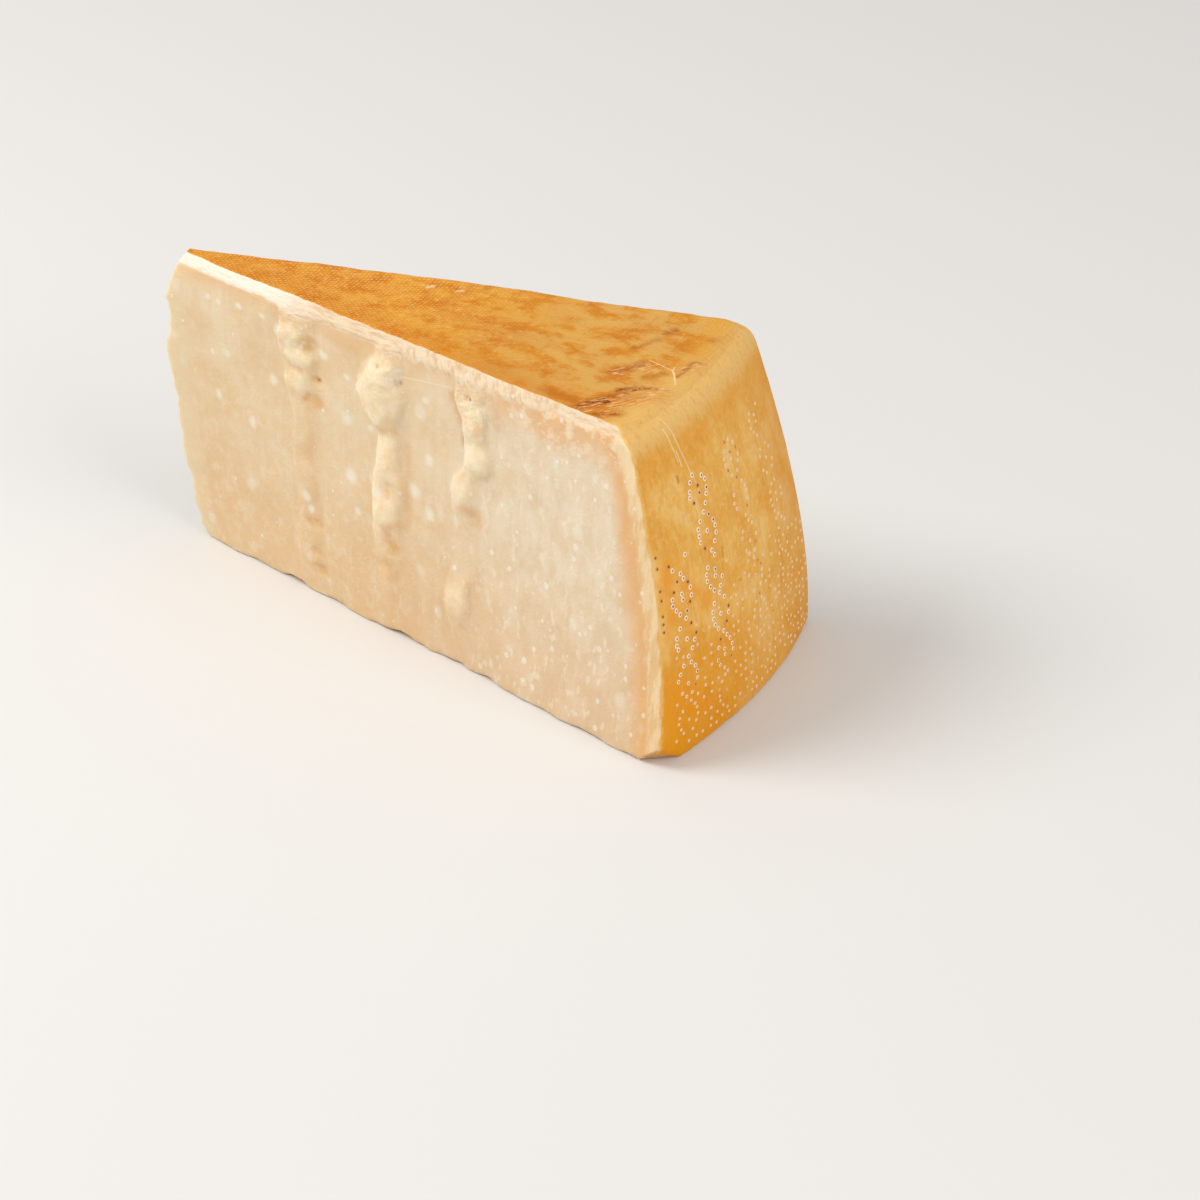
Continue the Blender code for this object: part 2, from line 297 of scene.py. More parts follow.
# Pores in the front cut, painted dark as the shade inside them, as (distance from the axis, height, half
# width, half height)
PORES = (
    (0.1042, 0.094, 0.0006, 0.0008),
    (0.0965, 0.0981, 0.0005, 0.0006),
    (0.0519, 0.1012, 0.0008, 0.0005),
    (0.0672, 0.0815, 0.0008, 0.0006),
    (0.1319, 0.08, 0.0005, 0.0007),
    (0.1338, 0.0985, 0.0006, 0.0005),
)

# Painted shade beside and under the tears on the front cut, as (start, end, half width, strength), ends as
# (distance, height)
PAINTED_TEAR_SHADOWS = (
    ((0.1072, 0.072), (0.1074, 0.043), 0.003, 0.4),
    ((0.106, 0.0425), (0.0985, 0.0395), 0.0036, 0.45),
    ((0.099, 0.039), (0.1, 0.022), 0.0044, 0.42),
    ((0.062, 0.071), (0.069, 0.0735), 0.0036, 0.5),
    ((0.0638, 0.07), (0.0645, 0.044), 0.0044, 0.26),
    ((0.0645, 0.042), (0.0665, 0.012), 0.004, 0.26),
    ((0.072, 0.0995), (0.085, 0.099), 0.0036, 0.35),
    ((0.1255, 0.097), (0.1288, 0.089), 0.0026, 0.5),
    ((0.144, 0.099), (0.145, 0.093), 0.0036, 0.45),
    ((0.133, 0.059), (0.138, 0.0565), 0.0044, 0.32),
    ((0.0955, 0.0757), (0.102, 0.075), 0.0024, 0.3),
)

# Pitch of the weave that a cloth pressed into the top rind
CLOTH_PITCH = 0.0015

# What each end of a mark is given beside its own two numbers
ON_TOP = (HEIGHT,)
ON_HEEL = (0.0,)
ON_FRONT = (0.0,)

# Marks on the top rind, as (start, end, half width, strength), each end as (distance, place across)
TOP_STAINS = (
    ((0.177, -0.0305), (0.1786, -0.0268), 0.0024, 1.0),
    ((0.1735, -0.033), (0.1762, -0.0258), 0.0048, 0.8),
    ((0.1759, -0.0255), (0.1798, -0.0203), 0.0034, 0.7),
    ((0.18, -0.0358), (0.1858, -0.0322), 0.0034, 0.7),
    ((0.177, -0.019), (0.1826, -0.0138), 0.0024, 0.9),
    ((0.1826, -0.0138), (0.189, -0.0113), 0.0017, 0.75),
    ((0.1912, -0.0243), (0.195, -0.0257), 0.001, 0.6),
    ((0.195, -0.0257), (0.1985, -0.0282), 0.001, 0.7),
    ((0.1698, -0.008), (0.1725, -0.004), 0.0044, 0.6),
    ((0.1725, -0.004), (0.1748, 0.001), 0.0036, 0.6),
    ((0.1794, -0.0078), (0.1836, -0.0026), 0.0026, 0.45),
    ((0.1883, -0.0024), (0.1886, 0.008), 0.0019, 0.7),
    ((0.1886, 0.008), (0.194, 0.012), 0.0019, 0.8),
    ((0.194, 0.012), (0.198, 0.0078), 0.001, 0.6),
    ((0.1738, 0.0212), (0.1758, 0.0243), 0.0028, 0.65),
    ((0.1884, 0.0235), (0.194, 0.0297), 0.0028, 0.55),
    ((0.1678, 0.007), (0.1704, 0.0128), 0.0024, 0.45),
    ((0.1704, 0.0128), (0.1728, 0.0166), 0.0024, 0.4),
    ((0.1587, -0.0291), (0.1739, -0.0318), 0.0044, 0.35),
    ((0.1097, 0.0197), (0.1111, 0.0232), 0.0022, 0.55),
)
TOP_FRAYED = (
    ((0.1765, -0.032), (0.1915, -0.014), 0.0078, 1.0),
    ((0.1705, -0.008), (0.179, 0.0), 0.0062, 0.6),
    ((0.186, 0.002), (0.1935, 0.011), 0.005, 0.5),
)
TOP_SCRATCHES = (
    ((0.1756, 0.0035), (0.1852, 0.0007), 0.0004, 0.6),
    ((0.1852, 0.0007), (0.1899, -0.0065), 0.0005, 0.8),
    ((0.1849, 0.0006), (0.1847, 0.0031), 0.0004, 0.6),
    ((0.091, 0.013), (0.0925, 0.0142), 0.001, 0.6),
    ((0.101, 0.015), (0.1028, 0.016), 0.0009, 0.5),
)

# Marks on the heel, each end as (place across, height)
HEEL_SCRATCHES = (
    ((-0.024, 0.092), (-0.0262, 0.103), 0.0004, 0.6),
    ((-0.0215, 0.094), (-0.0242, 0.105), 0.0004, 0.55),
    ((-0.0228, 0.09), (-0.0236, 0.095), 0.0005, 0.6),
    ((-0.019, 0.085), (-0.0212, 0.0935), 0.0004, 0.6),
    ((-0.0172, 0.079), (-0.0186, 0.085), 0.0004, 0.45),
)
HEEL_BLOTCHES = (
    ((-0.04, 0.064), (-0.0408, 0.05), 0.0054, 0.62),
    ((-0.0353, 0.0564), (-0.0235, 0.0474), 0.005, 0.45),
    ((-0.0353, 0.0972), (-0.0372, 0.0905), 0.004, 0.14),
    ((-0.0087, 0.0956), (-0.013, 0.0924), 0.004, 0.18),
    ((-0.0484, 0.0272), (-0.0255, 0.0122), 0.009, 0.4),
)
HEEL_SPECKS = (
    ((-0.0262, 0.0865), (-0.0261, 0.088), 0.001, 0.6),
    ((-0.012, 0.056), (-0.0118, 0.0585), 0.001, 0.4),
    ((0.021, 0.064), (0.0212, 0.066), 0.0009, 0.35),
)

# Chains of pin dots on the heel, as (share across at the foot, at the top, lowest, highest, strength)
PIN_CHAINS = (
    (0.13, 0.11, 0.006, 0.066, 1.0),
    (0.34, 0.28, 0.006, 0.087, 1.0),
    (0.58, 0.53, 0.007, 0.087, 0.55),
    (0.82, 0.79, 0.009, 0.09, 0.4),
)
PIN_PITCH = 0.0021
PIN_JITTER = 0.0003
PIN_CENTRE_WAVE = 0.94
PIN_APART = 0.4 * PIN_PITCH
PIN_KEPT = 0.90
PIN_WORN_AT_FOOT = 0.35
PIN_WORN_LEVEL = (0.010, 0.030)
LOZENGE_HEIGHT = 0.0135
LOZENGE_HALF_WIDTH = 0.0046
EDGE_PINS = (0.0695, 0.066, 0.059, 0.056, 0.051, 0.0485, 0.046)
EDGE_PIN_SHARE = 0.022
EDGE_PIN_STRENGTH = 0.7
EDGE_PIN_CHANCE = 0.07

# A worn field of pins over the lower heel: spacing, highest, strength, and the gap kept to the chains
FIELD_PITCH = 0.0031
FIELD_LOWEST = 0.004
FIELD_HIGHEST = 0.06
FIELD_FADE = 0.04
FIELD_ENDS = (0.07, 0.97)
FIELD_KEPT = 0.85
FIELD_STRENGTH = 0.45
FIELD_WEAR = (0.6, 1.0)
FIELD_GAP = 0.0022

# A pin dot's crater, as (radius, height over the heel)
PIN_PROFILE = (
    (0.0002, 0.00002),
    (0.00036, 0.00007),
    (0.00058, 0.00018),
    (0.0008, 0.0001),
    (0.00096, -0.00014),
)
PIN_SIDES = 8
PIN_PIT = 0.00032
PIN_PIT_EDGE = 0.00024
PIN_WORN_SIZE = 0.55
PIN_STEP = 0.002
SEED_PINS = 67

# The photograph's camera, as (azimuth, elevation, distance) from the place that it looks at
CAMERA_TARGET = (0.0388, 0.029, 0.0)
CAMERA_PLACE = (27.72, 32.09, 1.3344)
CAMERA_LENS = 120.0

# Lamps round the middle of the wedge, as (name, azimuth, elevation, distance, size, power)
LAMP_TARGET = (0.0, 0.0, 0.05)
LAMPS = (
    ("key", -62.0, 48.0, 1.6, 0.9, 16.2),
    ("fill", 75.0, 35.0, 1.8, 1.2, 10.5),
)
FLOOR_HALF = 3.0


def smooth(share):
    """Ease from 0 to 1 as the share goes from 0 to 1."""
    share = np.clip(share, 0.0, 1.0)
    return share * share * (3.0 - 2.0 * share)


def noise(points, size, seed):
    """Seeded random numbers on a cubic lattice of this size, eased from corner to corner."""
    table = np.random.default_rng(seed).uniform(-1.0, 1.0, (NOISE_TABLE,) * 3)
    points = points / np.array(size)
    cell = np.floor(points).astype(int)
    part = smooth(points - cell)
    total = np.zeros(len(points))
    for corner in itertools.product((0, 1), repeat=3):
        weight = np.prod(np.where(corner, part, 1.0 - part), axis=1)
        place = (cell + corner) % NOISE_TABLE
        total += weight * table[place[:, 0], place[:, 1], place[:, 2]]
    return total


def heel_radius(height):
    """The heel bulges at the wheel's middle and draws in toward the face by a power."""
    share = np.clip(height / HEIGHT, 0.0, 1.0)
    return HEEL_RADIUS - HEEL_DRAW_IN * share**HEEL_POWER


def front_angle(height):
    """The front cut swings out evenly from the top to the foot."""
    return FRONT_ANGLE - FRONT_LEAN * (1.0 - height / HEIGHT)


def nose_distance(height):
    """The nose follows its line of heights and distances."""
    line = np.array(NOSE_LINE)
    return np.interp(height, line[:, 0], line[:, 1])


def nose_half_width(height):
    """The nose is blunt, and narrows to a point in the rind at the top."""
    share = smooth((HEIGHT - height) / NOSE_TIP_DROP)
    return NOSE_TIP_HALF_WIDTH + (NOSE_HALF_WIDTH - NOSE_TIP_HALF_WIDTH) * share


def band_depth(along):
    """How deep the pale band of rind is along the top of a cut."""
    line = np.array(BAND_LINE)
    return np.interp(along, line[:, 0], line[:, 1])


def tear(along, height, rows):
    """A tear stands proud, steep at its near edge, and eases away at its far edge and its ends."""
    rows = np.array(rows)
    near = np.interp(height, rows[:, 0], rows[:, 1])
    far = np.interp(height, rows[:, 0], rows[:, 2])
    stand = np.interp(height, rows[:, 0], rows[:, 3])
    past, length = TEAR_END
    stand *= smooth((height - rows[0, 0] + past) / length)
    stand *= smooth((rows[-1, 0] + past - height) / length)
    rise = smooth((along - near) / TEAR_EDGE)
    fall = smooth((far - along) / (TEAR_EASE * (far - near)))
    return stand * rise * fall


def lump(along, height, shape, fullness):
    """A lump is a low oval dome, and a hollow is the same form sunk."""
    middle, level, half_width, half_height, stand = shape
    out = ((along - middle) / half_width) ** 2 + ((height - level) / half_height) ** 2
    return stand * np.clip(1.0 - out, 0.0, 1.0) ** fullness


def chip(along, height, shape):
    """A chip undercuts the foot of a cut, deepest at the foot and at its own middle."""
    middle, half_length, depth = shape
    length_share = smooth(1.0 - np.abs(along - middle) / half_length)
    return depth * length_share * smooth(1.0 - height / CHIP_RISE)


def cut_relief(along, height, tears, lumps, hollows, chips, seed):
    """A cut's stand from its tears, lumps, hollows, chips and grain, and how far it is torn up and in."""
    below_rind = smooth((HEIGHT - height) / RIND_CUT_DROP)
    base = RIND_CUT_BACK * below_rind * height / HEIGHT
    place = np.column_stack([along, height, np.zeros(len(along))])
    ragged_along = along.copy()
    ragged_height = height.copy()
    for step, (size, shift) in enumerate(RAGGED):
        ragged_along += shift * noise(place, size, seed + 7 + step)
        ragged_height += shift * noise(place, size, seed + 9 + step)
    torn_up = np.zeros(len(along))
    for rows in tears:
        torn_up += tear(ragged_along, height, rows) * below_rind
    for shape in lumps:
        torn_up += lump(ragged_along, ragged_height, shape, LUMP_FULLNESS)
    torn_in = np.zeros(len(along))
    for shape in hollows:
        torn_in += lump(ragged_along, ragged_height, shape, HOLLOW_FULLNESS)
    for shape in chips:
        base = base - chip(along, height, shape)

    for step, (size, swell) in enumerate((CUT_SWELL, CUT_RIPPLE)):
        base = base + swell * noise(place, size, seed + step)
    torn = smooth(torn_up / FULLY_TORN)
    size, swell = FLAKES
    base = base + torn * swell * noise(place, size, seed + 2)
    size, swell = CRUMBS
    from_level, rise = CRUMBLY_LEVEL
    crumbly = torn * (CRUMBS_BELOW + (1.0 - CRUMBS_BELOW) * smooth((height - from_level) / rise))
    base = base + crumbly * swell * noise(place, size, seed + 11)
    size, swell = KNIFE_LINES
    base = base + (1.0 - torn) * swell * noise(place, size, seed + 3)
    size, swell = GRAIN
    base = base + swell * noise(place, size, seed + 4)
    size, swell = RIND_FIBRES
    base = base + (1.0 - below_rind) * swell * noise(place, size, seed + 5)
    size, swell = FOOT_CRUMBLE
    base = base + smooth(1.0 - height / CHIP_RISE) * swell * (noise(place, size, seed + 6) - 0.5)
    return base + torn_up - torn_in, torn_up, torn_in


def rounded_edges(coords, ends):
    """Edges of the block are drawn in as a cube is drawn in to a ball, all but the rim's own edge."""
    push = np.zeros_like(coords)
    for axis, (low, high) in enumerate(ends):
        from_low = np.clip(1.0 - (coords[:, axis] - low) / EDGE_SOFTNESS, 0.0, 1.0)
        from_high = np.clip(1.0 - (high - coords[:, axis]) / EDGE_SOFTNESS, 0.0, 1.0)
        push[:, axis] = from_high - from_low
    at_rim = np.clip(np.minimum(push[:, 0], push[:, 2]), 0.0, None)
    length = np.sqrt(np.clip(np.sum(push**2, axis=1) - at_rim**2, 0.0, None))
    reach = np.max(np.abs(push), axis=1)
    factor = np.divide(reach, length, out=np.ones_like(length), where=length > 0.0)
    return coords + EDGE_SOFTNESS * push * (factor[:, None] - 1.0)


def rounded_rim(along, height, radius):
    """The rim between heel and top becomes a quarter round, by the same rule in two axes."""
    up = np.clip((height - (HEIGHT - HEEL_RIM)) / HEEL_RIM, 0.0, 1.0)
    out = np.clip((along - (radius - HEEL_RIM)) / HEEL_RIM, 0.0, 1.0)
    length = np.hypot(up, out)
    reach = np.maximum(up, out)
    factor = np.divide(reach, length, out=np.ones_like(length), where=length > 0.0)
    return along + HEEL_RIM * out * (factor - 1.0), height + HEEL_RIM * up * (factor - 1.0)


def turned(points, angle):
    """Points turned about the wheel's axis."""
    x = points[:, 0] * np.cos(angle) - points[:, 1] * np.sin(angle)
    y = points[:, 0] * np.sin(angle) + points[:, 1] * np.cos(angle)
    return np.column_stack([x, y, points[:, 2]])


def cut_normal(angle, side):
    """The outward normal of a cut that runs out from the axis at this angle."""
    return side * np.column_stack([-np.sin(angle), np.cos(angle), np.zeros(len(angle))])


def polar(radius, angle, height):
    """A point at this radius, angle and height round the wheel's axis."""
    return np.array([radius * math.cos(angle), radius * math.sin(angle), height])


def break_corner(points):
    """Lay everything beyond the plane of the broken corner down onto that plane."""
    on_cut = polar(BREAK_ALONG_CUT, front_angle(0.0), 0.0)
    on_heel = polar(HEEL_RADIUS, BREAK_ROUND_HEEL, 0.0)
    above = polar(heel_radius(BREAK_HEIGHT), front_angle(BREAK_HEIGHT), BREAK_HEIGHT)
    normal = np.cross(on_heel - on_cut, above - on_cut)
    normal /= np.linalg.norm(normal)
    beyond = np.clip((points - on_cut) @ normal, 0.0, None)
    return points - beyond[:, None] * normal, beyond


def wedge_surface(shares):
    """Carry the block's shares along, across and up to the wedge's surface, with what its finishes need."""
    height = HEIGHT * shares[:, 2]
    nose = nose_distance(height)
    radius = heel_radius(height)
    along = nose + (radius - nose) * shares[:, 0]
    half_angle = 0.5 * (BACK_ANGLE - front_angle(height))
    half_width = np.hypot(along * np.sin(half_angle), nose_half_width(height))
    across = half_width * (2.0 * shares[:, 1] - 1.0)
    block = np.column_stack([along, across, height])
    block = rounded_edges(block, ((nose, radius), (-half_width, half_width), (0.0, HEIGHT)))
    along, height = rounded_rim(block[:, 0], block[:, 2], radius)
    across = block[:, 1]

    turn = across / half_width * half_angle
    middle = 0.5 * (BACK_ANGLE + front_angle(height))
    points = turned(np.column_stack([along * np.cos(turn), across, height]), middle)

    depth = np.minimum(REACH_INWARD, half_width)
    near_front = smooth(1.0 - (across + half_width) / depth)
    near_back = smooth(1.0 - (half_width - across) / depth)
    front, front_up, front_in = cut_relief(
        along, height, FRONT_TEARS, FRONT_LUMPS, FRONT_HOLLOWS, FRONT_CHIPS, SEED_FRONT
    )
    back, back_up, back_in = cut_relief(
        along, height, BACK_TEARS, BACK_LUMPS, BACK_HOLLOWS, BACK_CHIPS, SEED_BACK
    )
    back = back + BACK_BOW * np.sin(math.pi * np.clip(along / HEEL_RADIUS, 0.0, 1.0))
    points += cut_normal(middle - half_angle, -1.0) * (front * near_front)[:, None]
    points += cut_normal(middle + half_angle, 1.0) * (back * near_back)[:, None]

    level = np.zeros(len(height))
    outward = np.column_stack([np.cos(middle), np.sin(middle), level])
    size, swell = HEEL_SWELL
    heel = swell * noise(np.column_stack([across, height, level]), size, SEED_HEEL)
    heel = heel * smooth(1.0 - (radius - along) / REACH_INWARD)
    points += outward * heel[:, None]
    at_nose = smooth(1.0 - (along - nose) / depth)
    for step, (size, swell) in enumerate(CRUMBLE):
        crumbled = swell * noise(np.column_stack([along, across, height]), size, SEED_NOSE + step)
        points += outward * (crumbled * at_nose)[:, None]
    size, swell = TOP_SWELL
    top = swell * (noise(np.column_stack([along, across, level]), size, SEED_TOP) - 1.0)
    points[:, 2] += top * smooth(1.0 - (HEIGHT - height) / REACH_INWARD)
    size, swell = FOOT_SPLIT
    split = swell * np.clip(noise(np.column_stack([along, across, level]), size, SEED_FOOT), 0.0, 1.0)
    points[:, 2] += split * smooth(1.0 - height / REACH_INWARD)

    points, beyond = break_corner(points)
    torn = np.column_stack(
        [front_up * near_front + back_up * near_back, front_in * near_front + back_in * near_back, beyond]
    )
    notes = {
        "place": np.column_stack([along, across, height]),
        "depths": np.column_stack([radius - along, HEIGHT - height, along - nose]),
        "torn": torn,
        "margins": np.column_stack(
            [across + half_width, RIND_THICKNESS - (radius - along), band_depth(along) - (HEIGHT - height)]
        ),
        "sheet": np.column_stack([along, height, across > 0.0]),
    }
    return points + AXIS, notes


def pin_places():
    """Where the pins were pressed, in shares of the heel: lozenge chains, a worn field and an edge row."""
    rng = np.random.default_rng(SEED_PINS)
    from_level, rise = PIN_WORN_LEVEL
    rows = []
    for at_foot, at_top, lowest, highest, strength in PIN_CHAINS:
        height = np.arange(lowest, highest, PIN_PITCH)
        wave = np.abs(np.sin(math.pi * (height - lowest) / LOZENGE_HEIGHT))
        bulge = LOZENGE_HALF_WIDTH * wave
        for side in (-1.0, 0.0, 1.0):
            apart = wave > PIN_CENTRE_WAVE if side == 0.0 else (bulge > PIN_APART) | (side > 0.0)
            kept = (rng.random(len(height)) < PIN_KEPT) & apart
            shift = side * bulge + rng.uniform(-PIN_JITTER, PIN_JITTER, len(height))
            level = height + rng.uniform(-PIN_JITTER, PIN_JITTER, len(height))
            half_width = heel_radius(level) * np.sin(0.5 * (BACK_ANGLE - front_angle(level)))
            across = at_foot + (at_top - at_foot) * level / HEIGHT + 0.5 * shift / half_width
            clear = smooth((level - from_level) / rise)
            worn = strength * (PIN_WORN_AT_FOOT + (1.0 - PIN_WORN_AT_FOOT) * clear)
            rows.append(np.column_stack([across, level / HEIGHT, worn, rng.random(len(height))])[kept])
    chains = np.concatenate(rows)
    full_width = 2.0 * HEEL_RADIUS * math.sin(BACK_ANGLE)
    level, across = np.meshgrid(
        np.arange(FIELD_LOWEST, FIELD_HIGHEST, FIELD_PITCH),
        np.arange(*FIELD_ENDS, FIELD_PITCH / full_width),
        indexing="ij",
    )
    level = level.ravel() + rng.uniform(-2.0 * PIN_JITTER, 2.0 * PIN_JITTER, level.size)
    across = across.ravel() + rng.uniform(-2.0 * PIN_JITTER, 2.0 * PIN_JITTER, across.size) / full_width
    apart = np.hypot((across[:, None] - chains[:, 0]) * full_width, level[:, None] - HEIGHT * chains[:, 1])
    chance = FIELD_KEPT * smooth((FIELD_HIGHEST - level) / FIELD_FADE)
    kept = (rng.random(level.size) < chance) & (apart.min(axis=1) > FIELD_GAP)
    worn = FIELD_STRENGTH * rng.uniform(*FIELD_WEAR, level.size)
    rows.append(np.column_stack([across, level / HEIGHT, worn, rng.random(level.size)])[kept])
    for level in EDGE_PINS:
        rows.append([[EDGE_PIN_SHARE, level / HEIGHT, EDGE_PIN_STRENGTH, EDGE_PIN_CHANCE]])
    return np.concatenate(rows)


def heel_pin_dots():
    """Every pin dot: the crater's profile carried round a circle that lies on the heel at its place."""
    pins = pin_places()
    shares = np.column_stack([np.ones(len(pins)), pins[:, 0], pins[:, 1]])
    middle, _ = wedge_surface(shares)
    beside, _ = wedge_surface(shares + [0.0, PIN_STEP, 0.0])
    above, _ = wedge_surface(shares + [0.0, 0.0, PIN_STEP])
    across = beside - middle
    across /= np.linalg.norm(across, axis=1)[:, None]
    outward = np.cross(across, above - middle)
    outward /= np.linalg.norm(outward, axis=1)[:, None]
    upward = np.cross(outward, across)

    turns = 2.0 * math.pi * np.arange(PIN_SIDES) / PIN_SIDES
    radius, rise = np.array(PIN_PROFILE).T
    ring = np.column_stack([np.cos(turns), np.sin(turns)])
    flat = np.concatenate([[[0.0, 0.0]], (radius[:, None, None] * ring).reshape(-1, 2)])
    lift = np.concatenate([[0.0], np.repeat(rise, PIN_SIDES)])
    size = PIN_WORN_SIZE + (1.0 - PIN_WORN_SIZE) * pins[:, 2]
    points = middle[:, None, :] + (
        across[:, None, :] * flat[None, :, :1] * size[:, None, None]
        + upward[:, None, :] * flat[None, :, 1:] * size[:, None, None]
        + outward[:, None, :] * lift[None, :, None]
    )

    side = np.arange(PIN_SIDES)
    after = (side + 1) % PIN_SIDES
    rings = len(radius)
    cap = np.column_stack([np.zeros(PIN_SIDES, int), 1 + side, 1 + after])
    inner = 1 + PIN_SIDES * np.arange(rings - 1)[:, None]
    outer = inner + PIN_SIDES
    walls = np.stack([inner + side, outer + side, outer + after, inner + after], axis=-1).reshape(-1, 4)
    first = (len(flat) * np.arange(len(pins)))[:, None, None]
    faces = (cap + first).reshape(-1, 3).tolist() + (walls + first).reshape(-1, 4).tolist()
    far_out = np.concatenate([[0.0], np.repeat(radius, PIN_SIDES)])
    wear = np.zeros((len(pins), len(flat), 3))
    wear[:, :, 0] = smooth((far_out - PIN_PIT) / PIN_PIT_EDGE)
    wear[:, :, 1] = pins[:, 2, None]
    wear[:, :, 2] = pins[:, 3, None]
    return mesh_object("heel_pin_dots", points.reshape(-1, 3), faces, [pin_finish()], None, {"wear": wear})


def grid_lines(spans):
    """Shares of the length at which grid lines lie, evenly spaced inside each span."""
    lines = [0.0]
    for end, cells in spans:
        lines.extend(np.linspace(lines[-1], end, cells + 1)[1:])
    return np.array(lines)


def block_skin(lines_by_axis):
    """Grid points and four-sided faces over a block's six sides, sharing the points on its edges."""
    cells = np.array([len(lines) - 1 for lines in lines_by_axis])
    grid = np.indices(cells + 1)
    on_skin = np.any((grid == 0) | (grid == cells[:, None, None, None]), axis=0)
    number = np.full(cells + 1, -1)
    number[on_skin] = np.arange(on_skin.sum())
    steps = np.argwhere(on_skin)
    shares = np.column_stack([lines[steps[:, axis]] for axis, lines in enumerate(lines_by_axis)])
    faces = []
    sides = []
    for axis in range(3):
        for far_end in (False, True):
            sheet = np.take(number, cells[axis] if far_end else 0, axis=axis)
            corners = [sheet[:-1, :-1], sheet[1:, :-1], sheet[1:, 1:], sheet[:-1, 1:]]
            if far_end == (axis == 1):
                corners.reverse()
            quads = np.stack(corners, axis=-1).reshape(-1, 4)
            faces.append(quads)
            sides.append(np.full(len(quads), 2 * axis + far_end))
    return shares, np.concatenate(faces), np.concatenate(sides)


def mesh_object(name, points, faces, materials, face_material=None, notes=None):
    """A smooth-shaded piece from whole arrays, with a named vector attribute for each note."""
    mesh = bpy.data.meshes.new(name)
    mesh.from_pydata(points.tolist(), [], faces)
    for material in materials:
        mesh.materials.append(material)
    if face_material is not None:
        mesh.polygons.foreach_set("material_index", face_material.astype(np.int32))
    for note, values in (notes or {}).items():
        attribute = mesh.attributes.new(note, "FLOAT_VECTOR", "POINT")
        attribute.data.foreach_set("vector", values.astype(np.float32).ravel())
    mesh.shade_smooth()
    piece = bpy.data.objects.new(name, mesh)
    bpy.context.collection.objects.link(piece)
    return piece


def tint(red, green, blue):
    """A colour named by its screen values from 0 to 255, as the linear colour a shader takes."""
    values = np.array([red, green, blue]) / 255.0
    linear = np.where(values <= 0.04045, values / 12.92, ((values + 0.055) / 1.055) ** 2.4)
    return (*linear.tolist(), 1.0)


class Finish:
    """A material built node by node: each method adds one node and gives back its output."""

    def __init__(self, name):
        self.material = bpy.data.materials.new(name)
        self.material.use_nodes = True
        self.tree = self.material.node_tree
        self.shader = self.tree.nodes["Principled BSDF"]

    def feed(self, socket, value):
        if isinstance(value, bpy.types.NodeSocket):
            self.tree.links.new(value, socket)
        else:
            socket.default_value = value

    def add(self, kind, inputs, output=0, **settings):
        node = self.tree.nodes.new(kind)
        for name, value in settings.items():
            setattr(node, name, value)
        for name, value in inputs.items():
            self.feed(node.inputs[name], value)
        return node.outputs[output]

    def note(self, name):
        """A vector attribute of the mesh."""
        return self.add("ShaderNodeAttribute", {}, "Vector", attribute_name=name)

    def parts(self, vector):
        """The three numbers of a vector."""
        return tuple(self.add("ShaderNodeSeparateXYZ", {0: vector}).node.outputs)

    def maths(self, operation, first, second=0.0, third=0.0):
        return self.add("ShaderNodeMath", {0: first, 1: second, 2: third}, operation=operation)

    def times(self, first, second):
        return self.maths("MULTIPLY", first, second)

    def span(self, value, start, end, low=0.0, high=1.0):
        """Ease from low to high as the value goes from start to end."""
        inputs = {"Value": value, "From Min": start, "From Max": end, "To Min": low, "To Max": high}
        return self.add("ShaderNodeMapRange", inputs, interpolation_type="SMOOTHSTEP")

    def stretched(self, vector, scale):
        return self.add("ShaderNodeVectorMath", {0: vector, 1: scale}, operation="MULTIPLY")

    def clouds(self, vector, size, detail=2.0, rough=0.5):
        """Soft noise from about 0.3 to 0.7, with features of this size in metres."""
        inputs = {"Vector": vector, "Scale": 1.0 / size, "Detail": detail, "Roughness": rough}
        return self.add("ShaderNodeTexNoise", inputs)

    def warped(self, vector, size, reach):
        """The place shifted by soft noise, so that a straight mark drawn in it wanders."""
        inputs = {"Vector": vector, "Scale": 1.0 / size, "Detail": 3.0, "Roughness": 0.6}
        shift = self.add("ShaderNodeTexNoise", inputs, "Color")
        shift = self.add("ShaderNodeVectorMath", {0: shift, 1: (0.5, 0.5, 0.5)}, operation="SUBTRACT")
        shift = self.stretched(shift, (reach, reach, reach))
        return self.add("ShaderNodeVectorMath", {0: vector, 1: shift}, operation="ADD")

    def spots(self, vector, pitch):
        """Distance from seed points one pitch apart, in pitches, and a random number for each."""
        inputs = {"Vector": vector, "Scale": 1.0 / pitch}
        distance = self.add("ShaderNodeTexVoronoi", inputs, "Distance")
        chance = self.add("ShaderNodeSeparateColor", {0: distance.node.outputs["Color"]})
        return distance, chance

    def blend(self, share, under, over):
        inputs = {0: share, 6: under, 7: over}
        return self.add("ShaderNodeMix", inputs, 2, data_type="RGBA")

    def coated(self, colour, coats):
        """Coats laid one on another over the colour, each as (share, screen tint or colour)."""
        for share, coat in coats:
            coat = tint(*coat) if isinstance(coat, tuple) else coat
            colour = self.blend(share, colour, coat)
        return colour

    def bump(self, height, depth, under=None):
        """Tilt the surface by a height of 0 to 1 that is this many metres deep."""
        inputs = {"Height": height, "Distance": depth, "Strength": 1.0}
        if under is not None:
            inputs["Normal"] = under
        return self.add("ShaderNodeBump", inputs)

    def done(self, sockets):
        """The material, once its shader's sockets are fed by name."""
        for name, value in sockets.items():
            self.feed(self.shader.inputs[name], value)
        return self.material


